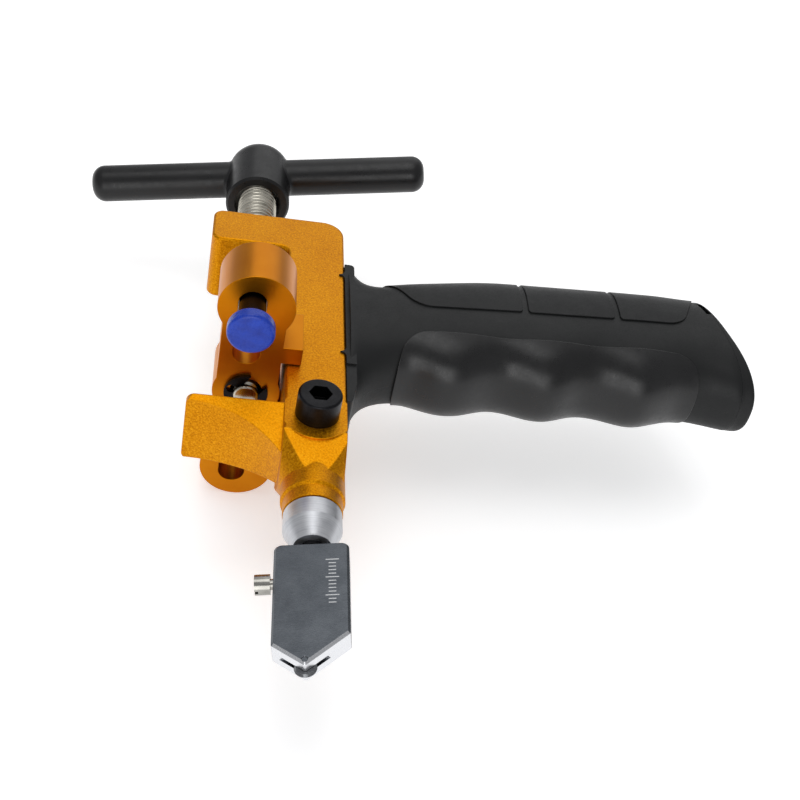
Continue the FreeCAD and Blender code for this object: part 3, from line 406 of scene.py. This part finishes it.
@dataclass(frozen=True)
class Etching(Surface):
    """Laser-etched marks on steel."""

    dark: str = "#b4b6b8"
    light: str = "#e6e7e8"

    def material(self) -> bpy.types.Material:
        """Pale, dry and slightly frosted lines."""
        material, tree, shader, place = self.start()
        frost = noise(tree, place, 0.25, 2.0)
        tint = ramp(tree, frost, ((0.3, self.dark), (0.7, self.light)))
        tree.links.new(tint, shader.inputs["Base Color"])
        self.relief(tree, shader, frost, 0.01)
        return material


CASTING = BlastedAnodising("blasted_gold_anodised_aluminium", 1.0, 0.4, edge_mm=0.35)
MILLED = MilledAnodising("milled_gold_anodised_aluminium", 1.0, 0.34, edge_mm=0.3)
ROLLED = Steel("rolled_bright_steel", 1.0, 0.24, dark="#8a867a", light="#d2cdc0", lay=Lay.TURNED)
SATIN = Steel("satin_zinc_steel", 1.0, 0.36, dark="#84868a", light="#b5b7ba")
# Ground steel gets a painted highlight in a pale colour on its faces that point down Y
GROUND = Steel("ground_steel", 1.0, 0.26, edge_mm=0.1, dark="#4b4f54", light="#62666b",
               lay=Lay.MILLED, line_mm=0.2, depth_mm=0.003, painted_highlight_colour="#dcdde0")
TURNED_SATIN = Steel("turned_satin_aluminium", 1.0, 0.38, edge_mm=0.15, dark="#a9abb0",
                     light="#d2d3d6", lay=Lay.TURNED, line_mm=0.3)
NICKEL = Steel("nickel_plated_brass", 1.0, 0.18, dark="#76746f", light="#b0aea8", lay=Lay.TURNED)
CARBIDE = Steel("ground_hard_metal", 1.0, 0.2, dark="#565759", light="#8b8d90")
OXIDE = Steel("black_oxide_steel", 1.0, 0.34, edge_mm=0.2, dark="#141415", light="#2a2a2c")
HANDLE = Moulding("black_satin_phenolic", 0.0, 0.34, dark="#0b0b0c", light="#161617",
                  depth_mm=0.012, scuff=0.6, specular=0.32)
SHELL = Moulding("black_textured_abs", 0.0, 0.5, edge_mm=0.25, specular=0.26, dark="#0f1011",
                 light="#181919", depth_mm=0.03, scuff=0.3)
PANEL = Moulding("black_fine_abs", 0.0, 0.46, edge_mm=0.4, specular=0.2, dark="#0e0f10",
                 light="#171818", depth_mm=0.015, scuff=0.3)
FINGER = Moulding("black_smooth_rubber", 0.0, 0.34, edge_mm=0.4, specular=0.4, dark="#0a0a0b",
                  light="#131314", depth_mm=0.008, scuff=0.6)
VINYL = SoftCap("blue_soft_vinyl", 0.0, 0.27, edge_mm=0.3, specular=0.35)
ETCH = Etching("laser_etched_steel", 0.0, 0.6)


class Finishes:
    """Each finish made once and handed out to every part that has it."""

    def __init__(self) -> None:
        """Start with nothing made."""
        self._made: dict[str, bpy.types.Material] = {}

    def get(self, finish: Surface) -> bpy.types.Material:
        """Return the finish's material, made the first time it is asked for."""
        if finish.name not in self._made:
            self._made[finish.name] = finish.material()
        return self._made[finish.name]


# ---------------------------------------------------------------- meshes

@dataclass(frozen=True)
class Lathe:
    """A turned solid about an axis along Y; its outline starts and ends on the axis."""

    outline: tuple[tuple[float, float], ...]
    centre: tuple[float, float]
    columns: int = 64
    row_mm: float = 0.25

    def rows(self) -> list[tuple[float, float]]:
        """Divide the long straight runs of the outline, so that a thread can be cut in them.

        Returns:
            Radius and height of each row.
        """
        rows = [self.outline[0]]
        for (r0, y0), (r1, y1) in zip(self.outline, self.outline[1:]):
            long_run = abs(y1 - y0) > LONG_RUN
            count = max(1, round(abs(y1 - y0) / (self.row_mm * MM))) if long_run else 1
            rows += [(r0 + (r1 - r0) * step / count, y0 + (y1 - y0) * step / count)
                     for step in range(1, count + 1)]
        return rows

    def mesh(self, name: str) -> bpy.types.Object:
        """Build the closed mesh.

        Args:
            name: Name of the piece.

        Returns:
            The new object, at the origin.
        """
        shape = bmesh.new()
        rings = []
        for radius, height in self.rows():
            if radius < ON_AXIS:
                rings.append([shape.verts.new((self.centre[0], height, self.centre[1]))])
                continue
            rings.append([shape.verts.new((
                self.centre[0] + radius * math.cos(2 * math.pi * turn / self.columns), height,
                self.centre[1] - radius * math.sin(2 * math.pi * turn / self.columns)))
                for turn in range(self.columns)])
        for low, high in zip(rings, rings[1:]):
            for turn in range(self.columns):
                after = (turn + 1) % self.columns
                corners = [low[turn % len(low)], low[after % len(low)],
                           high[after % len(high)], high[turn % len(high)]]
                shape.faces.new(list(dict.fromkeys(corners)))
        bmesh.ops.recalc_face_normals(shape, faces=shape.faces)
        for face in shape.faces:
            face.smooth = True
        data = bpy.data.meshes.new(name)
        shape.to_mesh(data)
        shape.free()
        piece = bpy.data.objects.new(name, data)
        bpy.context.scene.collection.objects.link(piece)
        return piece


class NodeMaker:
    """Builds one Geometry Nodes tree with named inputs and bakes it into plain meshes."""

    def __init__(self, name: str, inputs: Sequence[tuple[str, str]]) -> None:
        """Start a tree.

        Args:
            name: Name of the tree.
            inputs: Name and socket type of each input after the geometry.
        """
        self.tree = bpy.data.node_groups.new(name, "GeometryNodeTree")
        self.tree.is_modifier = True
        face = self.tree.interface
        face.new_socket("Geometry", in_out="INPUT", socket_type="NodeSocketGeometry")
        self.names = {label: face.new_socket(label, in_out="INPUT", socket_type=kind).identifier
                      for label, kind in inputs}
        face.new_socket("Geometry", in_out="OUTPUT", socket_type="NodeSocketGeometry")
        self.source = add_node(self.tree, "NodeGroupInput")

    def value(self, label: str) -> bpy.types.NodeSocket:
        """Return the socket of a named input."""
        return self.source.outputs[label]

    def math(self, operation: str, *values: Any) -> bpy.types.NodeSocket:
        """Work out one number from others."""
        node = add_node(self.tree, "ShaderNodeMath", dict(enumerate(values)),
                        operation=operation)
        return node.outputs[0]

    def close(self, geometry: bpy.types.NodeSocket) -> None:
        """End the tree with realised instances and the material.

        Args:
            geometry: What the tree has made.
        """
        real = add_node(self.tree, "GeometryNodeRealizeInstances", {"Geometry": geometry})
        dressed = add_node(self.tree, "GeometryNodeSetMaterial", {
            "Geometry": real.outputs[0], "Material": self.value("Material")})
        add_node(self.tree, "NodeGroupOutput", {"Geometry": dressed.outputs[0]})

    def bake(self, piece: bpy.types.Object, values: dict[str, Any]) -> None:
        """Run the tree on a piece and leave a plain mesh.

        Args:
            piece: The piece, with no modifier.
            values: A value for each named input.
        """
        modifier = piece.modifiers.new(self.tree.name, "NODES")
        modifier.node_group = self.tree
        for label, value in values.items():
            modifier[self.names[label]] = value
        graph = bpy.context.evaluated_depsgraph_get()
        mesh = bpy.data.meshes.new_from_object(piece.evaluated_get(graph))
        piece.modifiers.remove(modifier)
        piece.data = mesh
        mesh.name = piece.name


def thread_maker() -> NodeMaker:
    """Build the tree that cuts a rolled thread into a turned piece about an axis along Y.

    Returns:
        The maker, whose inputs are in metres.
    """
    number = "NodeSocketFloat"
    maker = NodeMaker("rolled_thread", (
        ("Centre X", number), ("Centre Z", number), ("Radius", number), ("Pitch", number),
        ("Depth", number), ("Start", number), ("End", number), ("Material", "NodeSocketMaterial")))
    tree = maker.tree
    place = add_node(tree, "GeometryNodeInputPosition")
    parts = add_node(tree, "ShaderNodeSeparateXYZ", {"Vector": place.outputs[0]})
    across = maker.math("SUBTRACT", parts.outputs["X"], maker.value("Centre X"))
    out = maker.math("SUBTRACT", parts.outputs["Z"], maker.value("Centre Z"))
    height = parts.outputs["Y"]
    turn = maker.math("DIVIDE", maker.math("ARCTAN2", out, across), 2 * math.pi)
    climb = maker.math("ADD", maker.math("DIVIDE", height, maker.value("Pitch")), turn)
    saw = maker.math("FRACT", climb)
    hill = maker.math("ABSOLUTE", maker.math("SUBTRACT", maker.math("MULTIPLY", saw, 2.0), 1.0))
    groove = add_node(tree, "ShaderNodeMapRange", {
        "Value": hill, "From Min": 0.1, "From Max": 0.92}, interpolation_type="SMOOTHSTEP")
    radius = maker.math("SQRT", maker.math("ADD", maker.math("MULTIPLY", across, across),
                                           maker.math("MULTIPLY", out, out)))
    outer = maker.math("GREATER_THAN", radius, maker.math("MULTIPLY", maker.value("Radius"), 0.985))
    runs = [add_node(tree, "ShaderNodeMapRange", {
        "Value": maker.math("SUBTRACT", *pair), "From Min": 0.0,
        "From Max": maker.value("Pitch")}).outputs[0]
        for pair in ((height, maker.value("Start")), (maker.value("End"), height))]
    mask = maker.math("MULTIPLY", maker.math("MULTIPLY", runs[0], runs[1]), outer)
    push = maker.math("MULTIPLY", maker.math("MULTIPLY", groove.outputs[0], mask),
                      maker.math("MULTIPLY", maker.value("Depth"), -1.0))
    away = add_node(tree, "ShaderNodeCombineXYZ", {"X": across, "Z": out})
    unit = add_node(tree, "ShaderNodeVectorMath", {0: away.outputs[0]}, operation="NORMALIZE")
    step = add_node(tree, "ShaderNodeVectorMath", {0: unit.outputs[0], "Scale": push},
                    operation="SCALE")
    moved = add_node(tree, "GeometryNodeSetPosition", {
        "Geometry": maker.value("Geometry"), "Offset": step.outputs[0]})
    maker.close(moved.outputs[0])
    return maker


def scale_maker() -> NodeMaker:
    """Build the tree that sets a row of etched ticks, every fifth one longer.

    Returns:
        The maker, whose inputs are in metres.
    """
    number = "NodeSocketFloat"
    maker = NodeMaker("etched_scale", (
        ("Count", "NodeSocketInt"), ("Spacing", number), ("Length", number), ("Width", number),
        ("Height", number), ("Material", "NodeSocketMaterial")))
    tree = maker.tree
    gap = add_node(tree, "ShaderNodeCombineXYZ", {"Y": maker.value("Spacing")})
    line = add_node(tree, "GeometryNodeMeshLine", {
        "Count": maker.value("Count"), "Offset": gap.outputs[0]}, mode="OFFSET")
    index = add_node(tree, "GeometryNodeInputIndex")
    fifth = maker.math("LESS_THAN", maker.math("MODULO", index.outputs[0], 5.0), 0.5)
    longer = maker.math("ADD", maker.math("MULTIPLY", fifth, 0.8), 1.0)
    shape = add_node(tree, "ShaderNodeCombineXYZ", {
        "X": maker.value("Length"), "Y": maker.value("Width"), "Z": maker.value("Height")})
    tick = add_node(tree, "GeometryNodeMeshCube", {"Size": shape.outputs[0]})
    stretch = add_node(tree, "ShaderNodeCombineXYZ", {"X": longer, "Y": 1.0, "Z": 1.0})
    row = add_node(tree, "GeometryNodeInstanceOnPoints", {
        "Points": line.outputs[0], "Instance": tick.outputs[0], "Scale": stretch.outputs[0]})
    maker.close(row.outputs[0])
    return maker


# ---------------------------------------------------------------- sub-assemblies

@dataclass
class Part:
    """What every sub-assembly does: dress CAD nodes and hand over new pieces."""

    finishes: Finishes

    def dress(self, finish: Surface, *nodes: str) -> None:
        """Give CAD nodes a finish.

        Args:
            finish: The finish.
            *nodes: Names of the CAD nodes.
        """
        material = self.finishes.get(finish)
        for name in nodes:
            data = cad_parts[name].data
            data.materials.clear()
            data.materials.append(material)
            LOG.info("%s: %s", name, finish.name)

    def hand_over(self, piece: bpy.types.Object, body: str, slot: str, *stands_for: str) -> None:
        """Attach a finished piece to its body.

        Args:
            piece: The piece.
            body: The CAD body that it moves with.
            slot: Not used.
            *stands_for: CAD nodes that it replaces.
        """
        if stands_for:
            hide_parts(*stands_for)
        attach(piece, body)
        LOG.info("%s rides on %s", piece.name, body)


@dataclass
class Frame(Part):
    """The cast frame and the clamp screw in its front."""

    def build(self) -> None:
        """Dress the casting and the screw."""
        self.dress(CASTING, "frame_body")
        self.dress(OXIDE, "clamp_screw")


@dataclass
class Press(Part):
    """Press screw, its T handle and the block that it moves."""

    threads: NodeMaker
    thread_radius: float = 6.8 * MM
    journal_radius: float = 5.0 * MM
    stub_radius: float = 3.8 * MM
    groove_radius: float = 3.1 * MM
    pitch: float = 2.0 * MM
    depth: float = 0.95 * MM
    lead_chamfer: float = 1.2 * MM
    top_chamfer: float = 1.0 * MM
    foot_chamfer: float = 0.5 * MM
    clip_play: float = 0.1 * MM
    neck_starts: float = 0.6 * MM
    neck_ends: float = 1.8 * MM

    def build(self) -> None:
        """Make the threaded screw and dress the rest."""
        low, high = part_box("spindle")
        washer_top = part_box("thrust_washer")[1].y
        clip_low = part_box("spindle_clip")[0].y - self.clip_play
        foot, top, base = low.y, high.y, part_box("press_block")[0].y
        lead = washer_top + self.lead_chamfer
        thread_end = top - self.top_chamfer
        lathe = Lathe((
            (0.0, foot), (self.stub_radius - self.foot_chamfer, foot),
            (self.stub_radius, foot + self.foot_chamfer),
            (self.stub_radius, clip_low), (self.groove_radius, clip_low),
            (self.groove_radius, base), (self.stub_radius, base),
            (self.stub_radius, base + self.neck_starts),
            (self.journal_radius, base + self.neck_ends), (self.journal_radius, washer_top),
            (self.thread_radius - self.lead_chamfer, washer_top), (self.thread_radius, lead),
            (self.thread_radius, thread_end), (self.thread_radius - self.top_chamfer, top),
            (0.0, top)), (0.0, 0.0))
        screw = lathe.mesh("press_screw")
        self.threads.bake(screw, {
            "Centre X": 0.0, "Centre Z": 0.0, "Radius": self.thread_radius, "Pitch": self.pitch,
            "Depth": self.depth, "Start": lead, "End": thread_end,
            "Material": self.finishes.get(ROLLED)})
        self.hand_over(screw, "spindle", "spindle_steel", "spindle")
        self.dress(OXIDE, "spindle_clip")
        self.dress(SATIN, "thrust_washer", "handle_pin")
        self.dress(HANDLE, "t_handle")
        self.dress(MILLED, "press_block")


@dataclass
class Pads(Part):
    """The two soft caps on their stepped stems."""

    threads: NodeMaker
    stem_radius: float = 4.0 * MM
    thread_radius: float = 2.5 * MM
    pitch: float = 0.8 * MM
    depth: float = 0.4 * MM
    thread_length: float = 17.0 * MM
    end_chamfer: float = 0.5 * MM
    step_chamfer: float = 0.3 * MM

    def build(self) -> None:
        """Make both threaded stems and dress their caps, washers and nuts."""
        for side in ("front", "rear"):
            low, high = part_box(f"pad_stem_{side}")
            centre = ((low.x + high.x) / 2, (low.z + high.z) / 2)
            step = high.y - self.thread_length
            thread_end = high.y - self.end_chamfer
            lathe = Lathe((
                (0.0, low.y), (self.stem_radius, low.y),
                (self.stem_radius, step - self.step_chamfer),
                (self.stem_radius - self.step_chamfer, step), (self.thread_radius, step),
                (self.thread_radius, thread_end), (self.thread_radius - self.end_chamfer, high.y),
                (0.0, high.y)), centre, columns=40, row_mm=0.12)
            stem = lathe.mesh(f"threaded_stem_{side}")
            self.threads.bake(stem, {
                "Centre X": centre[0], "Centre Z": centre[1], "Radius": self.thread_radius,
                "Pitch": self.pitch, "Depth": self.depth, "Start": step, "End": thread_end,
                "Material": self.finishes.get(OXIDE)})
            self.hand_over(stem, f"{side}_pad", "stem_black", f"pad_stem_{side}")
            self.dress(VINYL, f"pad_cap_{side}")
            self.dress(SATIN, f"pad_washer_{side}", f"pad_nut_{side}")


@dataclass
class ScoringHead(Part):
    """Shank, collar and the swivelling head with its wheel."""

    scales: NodeMaker
    turn_deg: float = 11.0
    ticks: int = 13
    spacing: float = 1.25 * MM
    tick_length: float = 2.0 * MM
    tick_width: float = 0.3 * MM
    tick_height: float = 0.06 * MM
    across: float = 5.6 * MM
    down: float = 6.5 * MM
    half_thick: float = 3.75 * MM
    collar_end: float = 5.4 * MM
    swivel_radius: float = 2.5 * MM
    gap: float = 0.05 * MM
    collar_straight: float = 6.2 * MM
    collar_chamfer: float = 0.5 * MM
    taper_ease: tuple[float, float] = (0.2 * MM, 0.3 * MM)
    sharp_deg: float = 20.0

    def collar(self) -> None:
        """Turn the collar with its long taper, in the place of the plain one."""
        low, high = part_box("cutter_collar")
        shank_low, shank_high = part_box("cutter_shank")
        radius = (high.x - low.x) / 2
        pin_radius = self.swivel_radius + self.gap
        pin_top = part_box("swivel_pin")[1].y + self.gap
        socket = (shank_high.x - shank_low.x) / 2 + self.gap
        out, up = self.taper_ease
        lathe = Lathe((
            (0.0, pin_top), (pin_radius, pin_top), (pin_radius, low.y), (self.collar_end, low.y),
            (self.collar_end + out, low.y + up),
            (radius, high.y - self.collar_straight), (radius, high.y - self.collar_chamfer),
            (radius - self.collar_chamfer, high.y), (socket, high.y),
            (socket, shank_low.y - self.gap),
            (0.0, shank_low.y - self.gap)), ((low.x + high.x) / 2, 0.0))
        piece = lathe.mesh("turned_collar")
        piece.data.set_sharp_from_angle(angle=math.radians(self.sharp_deg))
        piece.data.materials.append(self.finishes.get(TURNED_SATIN))
        self.hand_over(piece, "cutter", "collar_satin", "cutter_collar")

    def build(self) -> None:
        """Turn the collar, etch the scale on the head's front face and dress the rest."""
        collar_low, collar_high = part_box("cutter_collar")
        head_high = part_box("cutter_head")[1]
        scale = bpy.data.objects.new("etched_scale", bpy.data.meshes.new("etched_scale"))
        bpy.context.scene.collection.objects.link(scale)
        self.scales.bake(scale, {
            "Count": self.ticks, "Spacing": -self.spacing, "Length": self.tick_length,
            "Width": self.tick_width, "Height": self.tick_height,
            "Material": self.finishes.get(ETCH)})
        turn = Matrix.Rotation(-math.radians(self.turn_deg), 4, "Y")
        on_face = Matrix.Translation((self.across, -self.down, self.half_thick))
        middle = Matrix.Translation(((collar_low.x + collar_high.x) / 2, head_high.y, 0.0))
        scale.data.transform(middle @ turn @ on_face)
        self.hand_over(scale, "head", "head_steel")
        self.collar()
        self.dress(GROUND, "cutter_shank", "cutter_head", "wheel_axle")
        self.dress(OXIDE, "swivel_pin")
        self.dress(NICKEL, "head_screw")
        self.dress(CARBIDE, "cutting_wheel")


@dataclass
class Grip(Part):
    """The pistol grip's shells, panels, cap and hidden bolt."""

    def build(self) -> None:
        """Dress the shells and what is let into them."""
        self.dress(SHELL, "grip_shell_front", "grip_shell_rear", "end_cap")
        self.dress(PANEL, "back_panel_1", "back_panel_2", "back_panel_3")
        self.dress(FINGER, "finger_panel")
        self.dress(SATIN, "grip_bolt", "grip_washer", "grip_spine")


# ---------------------------------------------------------------- studio

@dataclass(frozen=True)
class SoftBox:
    """One large soft light."""

    name: str
    place: tuple[float, float, float]
    size: float
    power: float


@dataclass
class Studio:
    """Pale floor, soft light and the camera."""

    floor_size: float = 6.0
    floor_gap: float = 0.4 * MM
    floor_glow: float = 0.4
    floor_roughness: float = 0.9
    world_strength: float = 0.52
    sensor_mm: float = 36.0
    clip_start: float = 0.01
    lens_mm: float = 63.0
    place: tuple[float, float, float] = (-0.01496, -0.30823, 0.28036)
    right: tuple[float, float, float] = (0.984259, -0.042056, 0.171652)
    up: tuple[float, float, float] = (-0.102297, 0.656444, 0.747407)
    forward: tuple[float, float, float] = (0.144114, 0.753201, -0.641809)
    lights: tuple[SoftBox, ...] = (
        SoftBox("overhead_light", (-0.08, 0.1, 1.0), 0.7, 3.0),
        SoftBox("back_light", (0.2, 1.0, 0.85), 1.1, 2.7),
        SoftBox("front_light", (-0.1, -1.1, 0.3), 0.8, 5.0),
    )

    def floor(self) -> None:
        """Lay a pale floor just under the object."""
        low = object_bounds()[0].z - self.floor_gap
        half = self.floor_size / 2
        data = bpy.data.meshes.new("floor")
        data.from_pydata([(-half, -half, low), (half, -half, low), (half, half, low),
                          (-half, half, low)], [], [(0, 1, 2, 3)])
        floor = bpy.data.objects.new("floor", data)
        bpy.context.scene.collection.objects.link(floor)
        material = bpy.data.materials.new("pale_paper")
        material.use_nodes = True
        shader = material.node_tree.nodes["Principled BSDF"]
        shader.inputs["Base Color"].default_value = linear("#f7f7f7")
        shader.inputs["Roughness"].default_value = self.floor_roughness
        # The paper is lit from behind as well, so it stays near white under soft light.
        shader.inputs["Emission Color"].default_value = linear("#ffffff")
        shader.inputs["Emission Strength"].default_value = self.floor_glow
        data.materials.append(material)
        floor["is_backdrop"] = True

    def light(self) -> None:
        """Hang the soft lights and set an even pale surrounding."""
        for box in self.lights:
            data = bpy.data.lights.new(box.name, "AREA")
            data.energy = box.power
            data.size = box.size
            lamp = bpy.data.objects.new(box.name, data)
            lamp.location = box.place
            lamp.rotation_euler = (-Vector(box.place)).to_track_quat("-Z", "Y").to_euler()
            bpy.context.scene.collection.objects.link(lamp)
        world = bpy.data.worlds.new("surrounding")
        world.use_nodes = True
        background = world.node_tree.nodes["Background"]
        background.inputs["Color"].default_value = linear("#f4f5f7")
        background.inputs["Strength"].default_value = self.world_strength
        bpy.context.scene.world = world

    def camera(self) -> None:
        """Set the camera at its measured place and turn."""
        data = bpy.data.cameras.new("camera")
        data.lens = self.lens_mm
        data.sensor_width = self.sensor_mm
        data.clip_start = self.clip_start
        camera = bpy.data.objects.new("camera", data)
        bpy.context.scene.collection.objects.link(camera)
        axes = Matrix((self.right, self.up, tuple(-part for part in self.forward))).transposed()
        camera.matrix_world = Matrix.Translation(self.place) @ axes.to_4x4()
        bpy.context.scene.camera = camera

    def build(self) -> None:
        """Set up the whole studio."""
        self.camera()
        self.floor()
        self.light()
        bpy.context.scene.view_settings.view_transform = "Standard"


def corners(box: tuple[Vector, Vector]) -> list[list[float]]:
    """Turn a box into plain lists."""
    return [list(box[0]), list(box[1])]


def main() -> None:
    """Build every sub-assembly in order."""
    logging.basicConfig(level=logging.INFO, format="%(name)s %(message)s")
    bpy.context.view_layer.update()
    finishes = Finishes()
    threads = thread_maker()
    Studio().build()
    Frame(finishes).build()
    Press(finishes, threads).build()
    Pads(finishes, threads).build()
    ScoringHead(finishes, scale_maker()).build()
    Grip(finishes).build()


if __name__ == "__main__":
    main()
